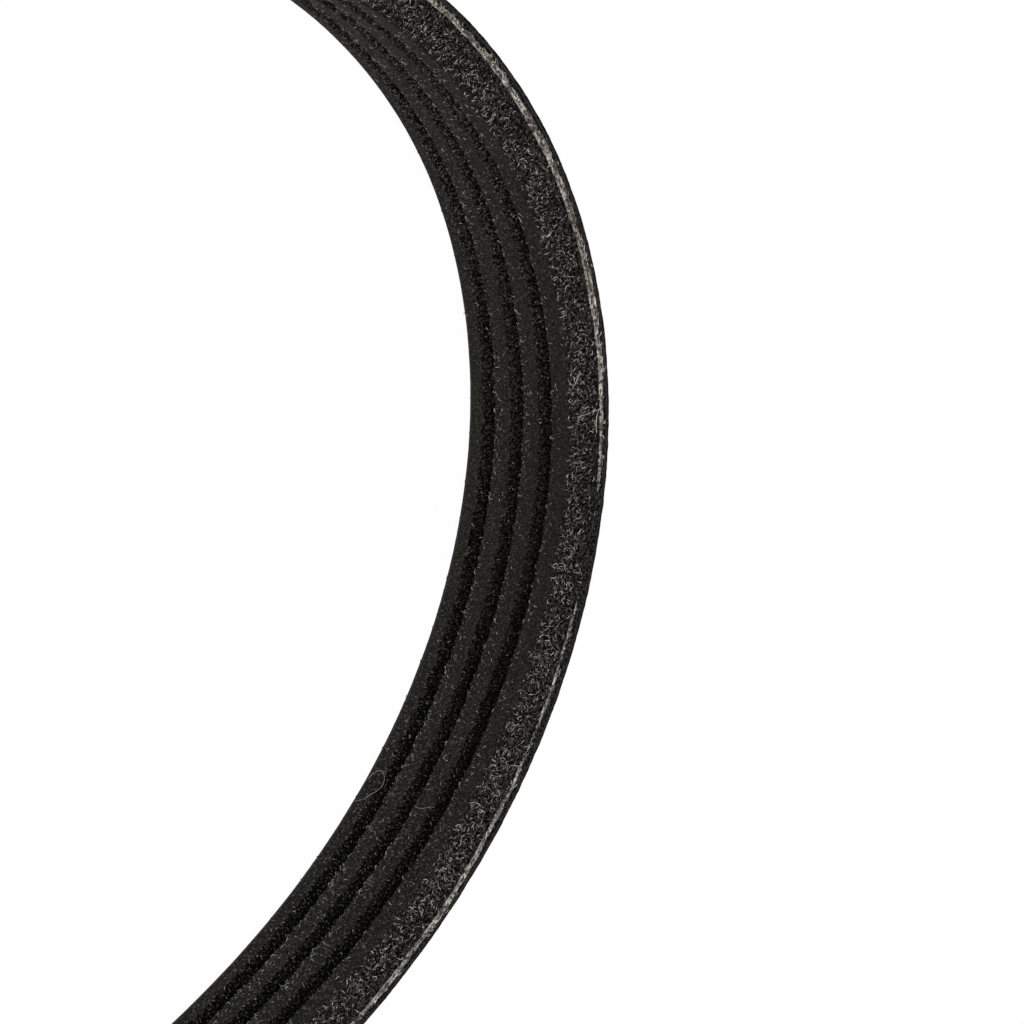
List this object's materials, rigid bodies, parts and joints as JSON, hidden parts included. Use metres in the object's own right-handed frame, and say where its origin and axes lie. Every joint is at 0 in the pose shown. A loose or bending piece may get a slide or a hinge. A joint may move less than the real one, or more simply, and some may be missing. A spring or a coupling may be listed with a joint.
{
  "type": "air conditioning drive belt",
  "caption": "Closed loop of ribbed rubber drive belt standing on its cut edge, with V ribs inside, a wound cord layer and a thin back cover.",
  "frame": {"origin": "middle of the loop, on the plane of the lower cut edge that the belt stands on", "axes": "+Z along the axis of the pulleys, towards the upper cut edge; +X along the loop's long axis; +Y across the loop"},
  "size_m": [0.3674, 0.132, 0.0142],
  "materials": {
    "ribbed_rubber": "matt ground rubber with short fibres standing out of the flanks",
    "tension_cord": "cream twisted polyester, frayed where the cut slices it",
    "back_rubber": "satin rubber with the fine print of the moulding cloth"
  },
  "bodies": {
    "root": {"ribbed_body": "ribbed_rubber", "tension_cord": "tension_cord", "back_cover": "back_rubber"}
  },
  "joints": []
}
